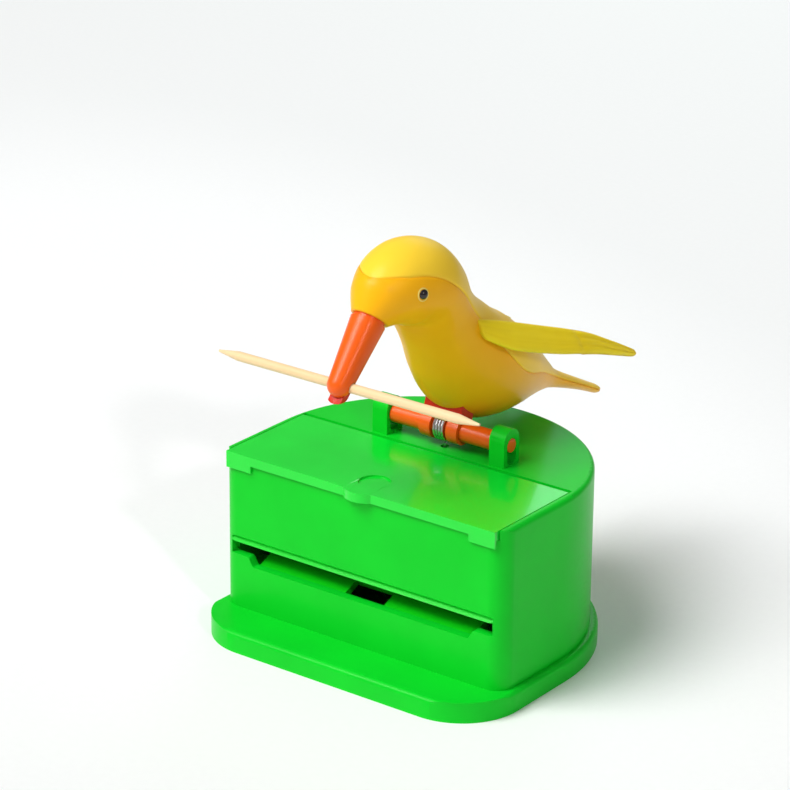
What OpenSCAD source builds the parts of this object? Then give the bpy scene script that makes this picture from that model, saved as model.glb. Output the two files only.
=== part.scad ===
// Toothpick dispenser with a pecking bird.
// Frame: millimetres, +Z up, the front wall faces -Y, and the origin is the middle of
// the base's footprint, on the surface that the box stands on.

/* [Housing] */
// Width of the housing
box_w = 72; // [68:1:88]
// Depth of the housing, from the front wall to the back of the round end
box_d = 56.8; // [54:0.2:70]
// Height of the top deck above the floor
box_h = 39.5; // [34:0.5:56]
// Thickness of the side and rear walls
wall = 2.4; // [2:0.1:3]
// Thickness of the front wall
front_wall = 2; // [1.6:0.1:2.4]
// Thickness of the top deck
deck = 2; // [1.6:0.1:2.4]
// Radius of the upright corners at the front
front_corner_r = 4; // [2:0.5:8]
// Radius along the top edges
edge_r = 1.2; // [0.5:0.1:1.8]

/* [Base] */
// Overhang of the base beyond the sides and the back
flange = 1.7; // [1:0.1:4]
// Overhang of the base in front of the front wall
front_step = 10.7; // [6:0.1:16]
// Height of the base flange
flange_h = 4.5; // [3.6:0.1:7]
// Radius of the base's front corners
base_corner_r = 14; // [6:1:20]
// Thickness of the base plate
plate_t = 2; // [1.6:0.1:2.4]

/* [Lid] */
// Depth of the refill lid, from the front wall to its hinge axis
lid_d = 24.8; // [22:0.2:25.4]
// Width of the raised rim beside the lid
rim = 1.65; // [1.5:0.05:1.9]
// Thickness of the lid
lid_t = 2; // [1.6:0.1:2.4]
// Amount by which the lid's front edge stands out from the front wall
lip = 0.6; // [0.4:0.1:0.9]
// Radius of the half-round thumb tab
tab_r = 4.8; // [3:0.1:7]

/* [Dispensing slot] */
// Drop from the deck to the slot's upper edge
slot_drop = 20.2; // [19.8:0.1:20.6]
// Height of the slot at its two ends
slot_h = 2.8; // [2.6:0.1:3.2]
// Further depth of the slot's middle
window_dip = 2; // [1:0.1:3]
// Width of the deep middle of the slot
window_w = 55; // [46:1:58]
// Width of the pocket in the chute that the beak dips into
pocket_w = 10; // [8:0.5:14]
// Slope of the chute floor, degrees
chute_slope = 22; // [15:1:26]

/* [Axle] */
// Distance of the axle behind the front wall
axle_back = 29.4; // [29.2:0.1:29.8]
// Height of the axle above the deck
axle_up = 4.4; // [4.2:0.1:4.8]
// Diameter of the perch rod
rod_d = 4.2; // [3.8:0.1:4.6]
// Length of the perch rod between the ears
rod_l = 25.7; // [20:0.1:30]
// Diameter of the trunnions on the rod's ends
trunnion_d = 3; // [2.4:0.1:3.2]
// Thickness of each ear
ear_t = 3.8; // [3:0.1:5]
// Depth of each ear, front to back
ear_d = 5.4; // [5.2:0.1:7]

/* [Bird] */
// Thickness of the bird's shells
shell_t = 1.4; // [1:0.1:2]
// Length of the upper beak in front of the face
beak_l = 16.6; // [15:0.1:17]
// Diameter of the beak at its root
beak_root_d = 7.4; // [6.6:0.1:8]
// Width of the lower beak
jaw_w = 3.2; // [2.8:0.1:3.6]

/* [Toothpick] */
// Length of a toothpick
pick_l = 65; // [60:1:66]
// Diameter of a toothpick
pick_d = 2; // [1.6:0.1:2.1]

/* [Hidden] */

$fn = 64;
eps = 0.02;

// clearances
slip = 0.15;   // between pieces that are pushed together
gap = 0.25;    // between pieces that move past each other
bore_gap = 0.2; // added to a pin's diameter to give its bore

// plan of the box: the round end is a half circle as wide as the box
half_w = box_w / 2;
base_half_w = half_w + flange;
base_d = front_step + box_d + flange;
y_base_front = -base_d / 2;
y_front = y_base_front + front_step;
y_rear = y_front + box_d;
y_arc = y_rear - half_w;
inner_half_w = half_w - wall;
y_inner_front = y_front + front_wall;
ceiling = box_h - deck;
flange_wall = 2.2;
flange_top = 1.6;

// lid and its hinge
hinge_y = y_front + lid_d;
hinge_z = box_h - lid_t / 2;
lid_gap = 0.2;
lid_half_w = half_w - rim - lid_gap;
hinge_pin_d = 1.4;
hinge_pin_l = 1;
hinge_rest = 2.2; // width of the ledge under the lid's rear edge
tab_out = 1.5;
corner_tab_w = 6.4;
corner_tab_h = 3.6;

// slot
slot_top = box_h - slot_drop;
lip_z = slot_top - slot_h;
window_z = lip_z - window_dip;
slot_half_w = inner_half_w - 0.15;
slot_chamfer = 0.7;

// chute
chute_t = 1.6;
chute_front = y_inner_front + 0.2;
chute_rear = hinge_y - 2;
chute_run = chute_rear - chute_front;
chute_rear_z = window_z - 0.1 + chute_run * tan(chute_slope);
rib_x = 0.32 * box_w;
pocket_deep = 4.5;

// screws
boss_d = 6.4;
boss_in = 2.2; // from the inner wall to a screw
pilot_d = 2.1;
screw_d = 2;
screw_l = 8;
screw_head_d = 4.2;
boss_top = 12;
// each screw's place, close to the wall: two beside the chute and two in the round end
rear_boss_angle = 46;
bosses = [for (s = [-1, 1]) each [
    [s * (inner_half_w - boss_in), y_front + 8],
    [s * (inner_half_w - boss_in) * sin(rear_boss_angle),
     y_arc + (inner_half_w - boss_in) * cos(rear_boss_angle)]]];

// axle
axle_y = y_front + axle_back;
axle_z = box_h + axle_up;
ear_x = rod_l / 2 + gap + ear_t / 2;
ear_top = axle_z + 3.6;
ear_slot_w = trunnion_d + bore_gap;
ear_slot_low = box_h + ear_slot_w / 2 + 0.2;

// return spring
wire_d = 0.6;
spring_r = rod_d / 2 + wire_d / 2 + 0.25;
spring_turns = 4;
spring_hole_d = 1.8;
spring_gap = spring_turns * (wire_d + 0.1) + wire_d + 0.8;

// leg bracket
bracket_w = 9.6;
bracket_r = rod_d / 2 + 0.8;
post_w = 4.4;   // depth of the post, front to back
post_top = 10.5; // above the axle
post_tilt = -18; // the post leans back, into the belly
leg_screw_x = 3.1;

// Bird, in its own frame: origin at the axle, y back, z up.
// Each station is [y, z, lean of the ring, half-width, height above, depth below].
body = [
    [-26.2, 31.4, -50, 4.0, 4.0, 4.0],
    [-23.4, 33.4, -38, 6.2, 6.3, 6.2],
    [-19.6, 34.9, -20, 8.2, 8.5, 7.9],
    [-15.0, 35.5, 0, 9.4, 9.4, 8.2],
    [-10.6, 34.3, 20, 9.8, 9.6, 8.4],
    [-7.2, 31.0, 38, 9.3, 9.4, 8.6],
    [-4.6, 27.0, 48, 8.8, 8.6, 8.6],
    [-1.9, 23.0, 46, 9.2, 9.1, 9.1],
    [1.3, 18.8, 42, 10.2, 10.4, 10.4],
    [5.6, 14.5, 36, 11.2, 11.3, 11.7],
    [10.6, 11.6, 28, 11.2, 11.3, 12.2],
    [15.6, 9.4, 24, 10.4, 10.3, 11.1],
    [21.2, 7.1, 22, 8.8, 8.6, 9.0],
    [26.8, 4.5, 24, 6.6, 6.2, 6.2],
    [32.5, 2.0, 25, 4.4, 3.9, 3.9],
    [37.5, -0.4, 25, 3.2, 2.2, 2.2],
    [48.0, -5.0, 25, 2.6, 1.3, 1.3],
    [56.4, -8.9, 25, 1.9, 1.0, 1.0]];
hollow_last = 13; // the tail behind this station is solid

// The parting line of the two shells in side view, from the forehead to the tail's tip.
seam = [[-40, 46], [-25.6, 42.3], [-22.9, 40.6], [-18.9, 40.4], [-15.9, 39.7],
    [-12.4, 37.6], [-7.9, 34.6], [-3.9, 30.6], [0.1, 25.6], [4.6, 19.6],
    [10.6, 13.1], [16.6, 9.1], [24.6, 6.6], [34.6, 1.6], [60, -10.6]];

// Wing stations: [x, y, z, chord]; the chord hangs down and outward.
wing = [[8.0, -1.5, 26.0, 4.4], [9.8, 4.6, 24.4, 6.8], [11.5, 17.3, 20.0, 6.6],
    [13.0, 25.4, 17.2, 5.8], [14.0, 31.8, 14.7, 4.9], [15.0, 37.1, 12.0, 3.7],
    [16.0, 44.3, 8.2, 2.0], [16.2, 46.2, 7.1, 1.0]];
wing_t = 1.5;
wing_lean = 35;

// Beak frame: along the beak from the middle of its root, and across to its underside.
beak_pitch = 50;
beak_y = -26.7;
beak_z = 30.9;
beak_tip_d = 5.2;
pick_along = 13.8;
pick_across = 0.9;
pick_off = 0.9; // the toothpick is held this far off its middle
jaw_pivot_along = -2.2;
jaw_pivot_across = 1.2;
jaw_top = 0.5;
jaw_over = 1.4; // the lower beak reaches this far past the upper one
jaw_tip_d = 5.4;
jaw_eye_x = 0.6; // the hinge eye ends here, and the spring takes the rest of the slit
jaw_pin_d = 1.2;

// eye, on the side of the head
eye_at = [8.35, -19.5, 36.4];
eye_d = 2.2;

housing_green = "#1cd23c";
deck_green = "#10c838";
beak_orange = "#f8641e";
leg_red = "#b8200c";
bird_yellow = "#eeb428";
crown_yellow = "#fadc50";
wood = "#f6e0b0";
steel = "silver";

// ---------- shared shapes ----------

// D-shaped plan: square front with rounded corners, half-round back
module d_plan(half_width, y_a, corner_r, grow = 0) {
    hw = half_width + grow;
    ya = y_a - grow;
    union() {
        translate([0, y_arc]) intersection() {
            circle(hw, $fn = 160);
            translate([-hw, -1]) square([2 * hw, hw + 2]);
        }
        translate([-hw, ya + corner_r]) square([2 * hw, y_arc - ya - corner_r]);
        translate([-hw + corner_r, ya]) square([2 * (hw - corner_r), y_arc - ya]);
        for (s = [-1, 1]) translate([s * (hw - corner_r), ya + corner_r]) circle(corner_r);
    }
}

// D-shaped block from z0 to z1 whose top edge is rounded to r
module d_block(half_width, y_a, corner_r, z0, z1, r) {
    intersection() {
        translate([0, 0, z0]) linear_extrude(z1 - z0) d_plan(half_width, y_a, corner_r);
        union() {
            translate([0, y_arc, 0]) rotate_extrude($fn = 160)
                intersection() {
                    rounded_top(half_width, z0, z1, r);
                    translate([0, z0 - 1]) square([half_width + 1, z1 - z0 + 2]);
                }
            translate([0, y_arc, 0]) rotate([90, 0, 0])
                linear_extrude(y_arc - y_a + 1) rounded_top(half_width, z0, z1, r);
        }
        translate([-half_width - 1, 0, 0]) rotate([90, 0, 90])
            linear_extrude(2 * half_width + 2)
                union() {
                    translate([y_a + r, z0]) square([2 * base_d, z1 - z0]);
                    translate([y_a, z0]) square([2 * r, z1 - z0 - r]);
                    translate([y_a + r, z1 - r]) circle(r);
                }
    }
}

// Upright section, symmetrical about x = 0, with its two top corners rounded
module rounded_top(half_width, z0, z1, r) {
    translate([-half_width, z0]) square([2 * half_width, z1 - z0 - r]);
    translate([-half_width + r, z0]) square([2 * (half_width - r), z1 - z0]);
    for (s = [-1, 1]) translate([s * (half_width - r), z1 - r]) circle(r);
}

module x_cylinder(d, x0, x1, y, z) {
    translate([x0, y, z]) rotate([0, 90, 0]) cylinder(d = d, h = x1 - x0);
}

// Catmull-Rom value at t between b and c
function blend4(a, b, c, d, t) =
    0.5 * (2 * b + (c - a) * t + (2 * a - 5 * b + 4 * c - d) * t * t
           + (3 * b - a - 3 * c + d) * t * t * t);

// Stations refined to `steps` for each interval
function refine(s, steps) = let (n = len(s)) concat(
    [for (i = [0 : n - 2], k = [0 : steps - 1])
        blend4(s[max(i - 1, 0)], s[i], s[i + 1], s[min(i + 2, n - 1)], k / steps)],
    [s[n - 1]]);

// Ring of a body station: two half ellipses, turned by the station's lean
function body_ring(s, n, inset) = [for (k = [0 : n - 1]) let (
    a = 360 * k / n,
    out = ((sin(a) > 0 ? s[4] : s[5]) - inset) * sin(a))
    [(s[3] - inset) * cos(a), s[0] + out * sin(s[2]), s[1] + out * cos(s[2])]];

// Ring of a wing station: a leaf section whose chord hangs from the upper edge
function wing_ring(s, n) = [for (k = [0 : n - 1]) let (
    a = 360 * k / n,
    along = s[3] / 2 * cos(a),
    thick = min(wing_t, s[3]) / 2 * sin(a))
    [s[0] + along * sin(wing_lean) + thick * cos(wing_lean), s[1],
     s[2] - along * cos(wing_lean) + thick * sin(wing_lean)]];

// Closed skin over rings of n points each
module skin(rings) {
    m = len(rings);
    n = len(rings[0]);
    points = [for (r = rings) each r];
    sides = [for (i = [0 : m - 2], k = [0 : n - 1]) let (j = (k + 1) % n) each [
        [i * n + k, (i + 1) * n + j, (i + 1) * n + k],
        [i * n + k, i * n + j, (i + 1) * n + j]]];
    caps = [[for (k = [n - 1 : -1 : 0]) k], [for (k = [0 : n - 1]) (m - 1) * n + k]];
    polyhedron(points, concat(sides, caps));
}

// Round wire of diameter d along a list of points, its rings square to the route
module wire(route, d, sides = 6) {
    m = len(route);
    rings = [for (i = [0 : m - 1]) let (
        t = route[min(i + 1, m - 1)] - route[max(i - 1, 0)],
        w = t / norm(t),
        helper = abs(w[0]) < 0.8 ? [1, 0, 0] : [0, 1, 0],
        u0 = cross(w, helper),
        u = u0 / norm(u0),
        v = cross(w, u))
        [for (k = [0 : sides - 1]) let (a = -360 * k / sides)
            route[i] + d / 2 * (cos(a) * u + sin(a) * v)]];
    skin(rings);
}

// Merges its children into one faceted solid, for shapes whose skins are many small facets
module merged() {
    resize([0, 0, 0]) union() children();
}

module on_axle() {
    translate([0, axle_y, axle_z]) children();
}

// From the beak frame (x across, y along the beak, z to its underside) to the bird's
module on_beak() {
    translate([0, beak_y, beak_z]) rotate([beak_pitch, 0, 0]) mirror([0, 1, 0])
        mirror([0, 0, 1]) children();
}

// ---------- box ----------

module slot_outline(grow = 0) {
    step = 1.6;
    steps = 8;
    dip = [for (k = [0 : steps]) let (t = k / steps)
        [window_w / 2 + step * t, window_z + window_dip * (3 * t * t - 2 * t * t * t)]];
    translate([-slot_half_w, lip_z]) square([2 * slot_half_w, slot_h + grow]);
    polygon(concat(
        [for (p = dip) p], [[window_w / 2 + step, lip_z + 1], [-window_w / 2 - step, lip_z + 1]],
        [for (k = [steps : -1 : 0]) [-dip[k][0], dip[k][1]]]));
}

module ear(side) {
    translate([side * ear_x - ear_t / 2, axle_y, 0]) rotate([90, 0, 90]) linear_extrude(ear_t)
        difference() {
            union() {
                translate([-ear_d / 2, ceiling + 0.5])
                    square([ear_d, ear_top - ear_d / 2 - ceiling - 0.5]);
                translate([0, ear_top - ear_d / 2]) circle(d = ear_d);
            }
            translate([0, axle_z]) circle(d = ear_slot_w);
            translate([-ear_slot_w / 2, ear_slot_low])
                square([ear_slot_w, axle_z - ear_slot_low]);
            translate([0, ear_slot_low]) circle(d = ear_slot_w);
        }
}

module housing() {
    color(housing_green) {
        difference() {
            union() {
                d_block(half_w, y_front, front_corner_r, 0, box_h, edge_r);
                d_block(base_half_w, y_base_front, base_corner_r, 0, flange_h, edge_r);
            }
            // inside of the tall part
            translate([0, 0, -1]) linear_extrude(ceiling + 1)
                d_plan(inner_half_w, y_inner_front, 1.5);
            // recess for the base plate, and the hollow under the flange
            translate([0, 0, -1]) linear_extrude(flange_h - flange_top + 1)
                d_plan(base_half_w - flange_wall, y_base_front + flange_wall,
                    base_corner_r - flange_wall);
            // refill opening and the recess that the lid lies in
            translate([-inner_half_w, y_inner_front, ceiling - 1])
                cube([2 * inner_half_w, hinge_y - y_inner_front - hinge_rest, deck + 2]);
            translate([-lid_half_w - lid_gap, y_front - 1, box_h - lid_t - lid_gap / 2])
                cube([2 * (lid_half_w + lid_gap), hinge_y - y_front + 1 + lid_t / 2 + gap,
                    lid_t + 1]);
            for (s = [0, 1]) mirror([s, 0, 0])
                x_cylinder(hinge_pin_d + bore_gap, lid_half_w,
                    lid_half_w + hinge_pin_l + bore_gap, hinge_y, hinge_z);
            // dispensing slot
            translate([0, y_inner_front + 0.5, 0]) rotate([90, 0, 0])
                linear_extrude(front_wall + 1) slot_outline();
            translate([-slot_half_w, y_front, slot_top]) rotate([45, 0, 0])
                cube([2 * slot_half_w, slot_chamfer * sqrt(2), slot_chamfer * sqrt(2)],
                    center = false);
            // hole for the return spring's leg
            translate([0, axle_y, ceiling - 1]) cylinder(d = spring_hole_d, h = deck + 2);
        }
        for (s = [-1, 1]) ear(s);
        intersection() {
            difference() {
                for (b = bosses) translate([b[0], b[1], plate_t + 0.1])
                    cylinder(d = boss_d, h = boss_top - plate_t);
                for (b = bosses) translate([b[0], b[1], plate_t])
                    cylinder(d = pilot_d, h = screw_l);
            }
            linear_extrude(boss_top + 1) d_plan(half_w - 1, y_front + 1, front_corner_r - 1);
        }
    }
}

module base_plate() {
    color(housing_green) difference() {
        linear_extrude(plate_t)
            d_plan(base_half_w - flange_wall - slip, y_base_front + flange_wall + slip,
                base_corner_r - flange_wall);
        for (b = bosses) translate([b[0], b[1], 0]) {
            translate([0, 0, -1]) cylinder(d = screw_d + 0.6, h = plate_t + 2);
            translate([0, 0, -eps]) cylinder(d = screw_head_d + 0.3, h = 1 + eps);
        }
    }
}

module base_screws() {
    color(steel) for (b = bosses) translate([b[0], b[1], 0.1]) {
        cylinder(d = screw_head_d, h = 0.9);
        cylinder(d = screw_d, h = screw_l);
    }
}

module hopper_chute() {
    color(deck_green) intersection() {
        linear_extrude(box_h) d_plan(inner_half_w - gap, y_inner_front + 0.1, 1.5);
        chute_whole();
    }
}

module chute_whole() {
    union() {
        difference() {
            // floor, sloping down to the slot
            translate([-window_w / 2, 0, 0]) rotate([90, 0, 90]) linear_extrude(window_w)
                polygon([[chute_front, window_z - 0.1], [chute_rear, chute_rear_z],
                    [chute_rear, chute_rear_z - chute_t], [chute_front, window_z - 0.1 - chute_t]]);
            translate([-pocket_w / 2, chute_front - 1, window_z - 6])
                cube([pocket_w, pocket_deep + 1, 14]);
        }
        // back wall of the hopper
        translate([-inner_half_w + 0.3, chute_rear - eps, chute_rear_z - chute_t])
            cube([2 * inner_half_w - 0.6, chute_t, ceiling - 1 - chute_rear_z + chute_t]);
        // two ribs that stand on the base plate
        for (s = [-1, 1]) translate([s * rib_x - 0.8, 0, 0]) rotate([90, 0, 90])
            linear_extrude(1.6) polygon([[chute_front, plate_t + 0.05],
                [chute_rear + chute_t, plate_t + 0.05], [chute_rear + chute_t, chute_rear_z],
                [chute_rear, chute_rear_z - 0.5], [chute_front, window_z - 0.6]]);
    }
}

// ---------- lid ----------

module refill_lid() {
    color(deck_green) {
        difference() {
            union() {
                translate([-lid_half_w, y_front - lip, box_h - lid_t])
                    cube([2 * lid_half_w, lid_d + lip, lid_t]);
                x_cylinder(lid_t, -lid_half_w, lid_half_w, hinge_y, hinge_z);
                translate([0, y_front - lip + tab_r - tab_out, box_h - lid_t])
                    cylinder(r = tab_r, h = lid_t);
            }
            // shallow finger hollow
            translate([0, y_front + tab_r + 0.5, box_h - 0.4]) cylinder(r = tab_r - 1.4, h = 1);
        }
        for (s = [-1, 1]) {
            x_cylinder(hinge_pin_d, s > 0 ? lid_half_w - 1 : -lid_half_w - hinge_pin_l,
                s > 0 ? lid_half_w + hinge_pin_l : -lid_half_w + 1, hinge_y, hinge_z);
            translate([s * (lid_half_w - corner_tab_w / 2) - corner_tab_w / 2,
                y_front - lip, box_h - corner_tab_h])
                cube([corner_tab_w, lip - 0.1, corner_tab_h - 0.5]);
        }
    }
}

// ---------- axle ----------

module perch_rod() {
    color(beak_orange) on_axle() {
        x_cylinder(rod_d, -rod_l / 2, rod_l / 2, 0, 0);
        x_cylinder(trunnion_d, -ear_x - ear_t / 2, ear_x + ear_t / 2, 0, 0);
    }
}

// Coil round the rod, ending in a straight leg that goes down through the deck
module return_spring() {
    per_turn = 16;
    pitch = wire_d + 0.1;
    last = spring_turns * per_turn;
    coil = [for (k = [0 : last]) let (a = 360 * k / per_turn)
        [pitch * (k / per_turn - spring_turns / 2), spring_r * cos(a), spring_r * sin(a)]];
    end = coil[0];
    color(steel) on_axle()
        wire(concat([[0, 0, -axle_up - deck - 1.2], [0, 0, -axle_up + 0.6],
            [end[0], spring_r * 0.96, -spring_r * 0.9], [end[0], spring_r, -0.9]], coil), wire_d);
}

// ---------- bird ----------

// Side view of the legs' post, which leans back into the belly
module post_outline(grow = 0) {
    rotate(post_tilt) translate([-post_w / 2 - grow, 1])
        square([post_w + 2 * grow, post_top - 1 + grow]);
}

// Solid that the shells leave free for the post
module post_room() {
    translate([-bracket_w / 2 - slip, 0, 0]) rotate([90, 0, 90])
        linear_extrude(bracket_w + 2 * slip) post_outline(slip);
}

// One side of the bracket, from x0 to x1; the bore fits the rod, or clears the spring
module bracket_slice(x0, x1, bore) {
    translate([x0, 0, 0]) rotate([90, 0, 90]) linear_extrude(x1 - x0) difference() {
        union() {
            circle(bracket_r);
            post_outline();
        }
        circle(d = bore);
    }
}

module leg_bracket() {
    color(leg_red) on_axle() difference() {
        union() {
            for (s = [-1, 1]) mirror([s < 0 ? 1 : 0, 0, 0])
                bracket_slice(spring_gap / 2, bracket_w / 2, rod_d + bore_gap);
            bracket_slice(-spring_gap / 2, spring_gap / 2, 2 * (spring_r + wire_d + 0.3));
        }
        rotate([post_tilt, 0, 0]) for (s = [-1, 1])
            translate([s * leg_screw_x, 0, post_top - 5]) cylinder(d = 1.7, h = 6);
    }
}

module leg_screws() {
    color(steel) on_axle() rotate([post_tilt, 0, 0]) for (s = [-1, 1])
        translate([s * leg_screw_x, 0, 0]) {
            translate([0, 0, post_top - 4.6]) cylinder(d = 1.6, h = 4.7);
            translate([0, 0, post_top + 0.05]) cylinder(d = 3, h = 1);
        }
}

module bird_solid(inset = 0) {
    skin([for (s = refine(body, 2)) body_ring(s, 28, inset)]);
}

module bird_hollow() {
    inner = [for (i = [0 : hollow_last]) body[i]];
    skin([for (s = refine(inner, 2)) body_ring(s, 28, shell_t)]);
}

// Everything behind and above the parting line
module seam_block() {
    translate([-30, 0, 0]) rotate([90, 0, 90]) linear_extrude(60)
        polygon(concat(seam, [[80, 0], [80, 80], [-40, 80]]));
}

module shell_skin() {
    difference() {
        bird_solid();
        bird_hollow();
    }
}

module breast_shell() {
    color(bird_yellow) on_axle() merged() difference() {
        shell_skin();
        seam_block();
        post_room();
        x_cylinder(2 * bracket_r + 2 * gap, -bracket_w / 2 - gap, bracket_w / 2 + gap, 0, 0);
        on_beak() beak_socket();
        for (s = [-1, 1]) eye_socket(s);
    }
}

module back_shell() {
    color(crown_yellow) on_axle() merged() intersection() {
        shell_skin();
        translate([0, eps, eps]) seam_block();
    }
}

module wing_blade() {
    skin([for (s = refine(wing, 2)) wing_ring(s, 16)]);
}

module wing_piece(side) {
    color(crown_yellow) on_axle() merged() difference() {
        mirror([side < 0 ? 1 : 0, 0, 0]) wing_blade();
        bird_solid(-0.03);
    }
}

module left_wing() {
    wing_piece(-1);
}

module right_wing() {
    wing_piece(1);
}

module eye_socket(side) {
    translate([side * eye_at[0], eye_at[1], eye_at[2]]) sphere(d = eye_d + 0.1, $fn = 24);
}

module eye(side) {
    color("#140c10") on_axle()
        translate([side * eye_at[0], eye_at[1], eye_at[2]]) sphere(d = eye_d, $fn = 24);
}

module left_eye() {
    eye(-1);
}

module right_eye() {
    eye(1);
}

// Room in the face for the beak's root and for the lower beak's swing
module beak_socket() {
    translate([0, -0.4, 0]) rotate([90, 0, 0]) cylinder(d = beak_root_d - 0.8 + 2 * slip, h = 6);
    translate([0, -0.4, 0]) rotate([-90, 0, 0])
        cylinder(d1 = beak_root_d + 2 * slip, d2 = beak_tip_d, h = beak_l);
    translate([-jaw_w / 2 - gap, -5, 0]) cube([jaw_w + 2 * gap, 12, 9]);
}

// Cone of the whole beak with a round tip; y runs along the beak
module beak_cone(length, root, tip) {
    rotate([-90, 0, 0]) rotate_extrude() intersection() {
        union() {
            polygon([[0, 0], [root / 2, 0], [tip / 2, length - tip / 2], [0, length - tip / 2]]);
            translate([0, length - tip / 2]) circle(d = tip);
        }
        square([root, length + 1]);
    }
}

module upper_beak() {
    color(beak_orange) on_axle() on_beak() difference() {
        union() {
            beak_cone(beak_l, beak_root_d, beak_tip_d);
            translate([0, 0.4, 0]) rotate([90, 0, 0]) cylinder(d = beak_root_d - 0.8, h = 4.4);
        }
        // slit that the lower beak lies in
        translate([-jaw_w / 2 - slip, -5, jaw_top - slip])
            cube([jaw_w + 2 * slip, beak_l + 10, 9]);
        // room round the pivot
        x_cylinder(4.2, -jaw_w / 2 - slip, jaw_w / 2 + slip, jaw_pivot_along, jaw_pivot_across);
        x_cylinder(jaw_pin_d + 0.05, -4, 4, jaw_pivot_along, jaw_pivot_across);
        // notch that the toothpick lies in
        x_cylinder(pick_d + 0.3, -4, 4, pick_along, pick_across);
        translate([-4, pick_along - pick_d / 2 - 0.15, pick_across])
            cube([8, pick_d + 0.3, 6]);
        // nothing thin is left beside the slit, beyond the notch
        translate([-4, pick_along, jaw_top + 0.4]) cube([8, 6, 6]);
    }
}

module lower_beak() {
    color(leg_red) on_axle() on_beak() difference() {
        union() {
            intersection() {
                beak_cone(beak_l + jaw_over, beak_root_d, jaw_tip_d);
                translate([-jaw_w / 2, 0.6, jaw_top])
                    cube([jaw_w, beak_l + 8, 9]);
            }
            // hinge eye and the arm that joins it to the blade
            x_cylinder(3.4, -jaw_w / 2, jaw_eye_x, jaw_pivot_along, jaw_pivot_across);
            translate([-jaw_w / 2, jaw_pivot_along, jaw_top])
                cube([jaw_w / 2 + jaw_eye_x, 3.4, 2.2]);
        }
        x_cylinder(jaw_pin_d + bore_gap, -4, 4, jaw_pivot_along, jaw_pivot_across);
        x_cylinder(pick_d + 0.3, -4, 4, pick_along, pick_across);
    }
}

module jaw_pin() {
    color(steel) on_axle() on_beak()
        x_cylinder(jaw_pin_d, -beak_root_d / 2 + 0.9, beak_root_d / 2 - 0.9,
            jaw_pivot_along, jaw_pivot_across);
}

// Small coil round the jaw pin, beside the lower beak's hinge eye
module jaw_spring() {
    per_turn = 12;
    turns = 2;
    fine_wire = 0.26;
    coil_r = jaw_pin_d / 2 + fine_wire / 2 + 0.25;
    coil = [for (k = [0 : turns * per_turn]) let (a = 360 * k / per_turn)
        [jaw_eye_x + 0.22 + 0.3 * k / per_turn, jaw_pivot_along + coil_r * cos(a),
         jaw_pivot_across + coil_r * sin(a)]];
    color(steel) on_axle() on_beak() wire(coil, fine_wire);
}

// ---------- toothpick ----------

module toothpick() {
    point_l = 5;
    color(wood) on_axle() on_beak() translate([pick_off, pick_along, pick_across])
        rotate([0, 90, 0]) {
            translate([0, 0, -pick_l / 2 + point_l]) cylinder(d = pick_d, h = pick_l - 2 * point_l);
            for (s = [0, 1]) mirror([0, 0, s]) translate([0, 0, pick_l / 2 - point_l])
                cylinder(d1 = pick_d, d2 = 0.5, h = point_l);
        }
}

housing();
base_plate();
base_screws();
hopper_chute();
refill_lid();
perch_rod();
return_spring();
leg_bracket();
leg_screws();
breast_shell();
back_shell();
left_wing();
right_wing();
left_eye();
right_eye();
upper_beak();
lower_beak();
jaw_pin();
jaw_spring();
toothpick();
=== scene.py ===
# %% [markdown]
# # A toothpick dispenser with a pecking bird
# The real thing is a green moulded box with a yellow bird on a perch rod. Everything here is
# injection-moulded plastic, apart from a few steel parts inside and the wooden toothpick.
# The first cell loads the imported model, and its parts are kept.

# %% Load the frame
import math

import bmesh
import bpy
from mathutils import Matrix, Vector


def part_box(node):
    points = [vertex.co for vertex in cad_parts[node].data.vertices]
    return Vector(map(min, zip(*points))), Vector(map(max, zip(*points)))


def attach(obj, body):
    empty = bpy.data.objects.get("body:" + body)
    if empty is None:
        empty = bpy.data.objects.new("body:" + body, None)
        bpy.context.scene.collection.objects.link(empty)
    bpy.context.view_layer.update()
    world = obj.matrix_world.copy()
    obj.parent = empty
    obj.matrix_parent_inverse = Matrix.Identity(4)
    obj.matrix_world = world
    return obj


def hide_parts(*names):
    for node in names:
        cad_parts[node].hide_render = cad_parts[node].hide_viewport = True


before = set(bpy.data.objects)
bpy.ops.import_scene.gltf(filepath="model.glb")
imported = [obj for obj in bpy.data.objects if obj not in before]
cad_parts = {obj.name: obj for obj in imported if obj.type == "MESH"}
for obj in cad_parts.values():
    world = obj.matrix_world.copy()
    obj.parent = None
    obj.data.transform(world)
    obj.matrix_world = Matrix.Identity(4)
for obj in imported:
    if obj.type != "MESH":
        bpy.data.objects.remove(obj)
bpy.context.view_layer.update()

MM = 0.001

# %% [markdown]
# ## Camera, floor and light
# A product picture is taken from far off with a long lens, so that upright edges stay nearly
# parallel. The camera looks down a little, from the front right. The aim point is named, and the
# camera's place follows from its angles and distance. A wide sun makes the light even from edge
# to edge, a large lamp at the front left gives the gloss its highlights, a cool one behind draws
# a sheen over the lid, and a narrow one on the right brightens the bird alone.

# %% Camera
AIM = Vector((-7.7, -1.7, 51.25)) * MM
AZIMUTH = math.radians(36.8)
ELEVATION = math.radians(21.5)
DISTANCE = 708.6 * MM
LENS_MM = 156.4
CAMERA_ROLL = math.radians(0.57)


def towards(azimuth, elevation):
    """Unit vector from the object to a viewer; azimuth 0 is in front, positive to the right."""
    return Vector((math.sin(azimuth) * math.cos(elevation),
                   -math.cos(azimuth) * math.cos(elevation), math.sin(elevation)))


def look_from(thing, place, target, roll=0.0):
    """Put a camera or a lamp at a place and turn it to the target."""
    thing.location = place
    thing.rotation_mode = "QUATERNION"
    turn = (target - place).to_track_quat("-Z", "Y")
    thing.rotation_quaternion = turn @ Matrix.Rotation(roll, 3, "Z").to_quaternion()


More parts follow.
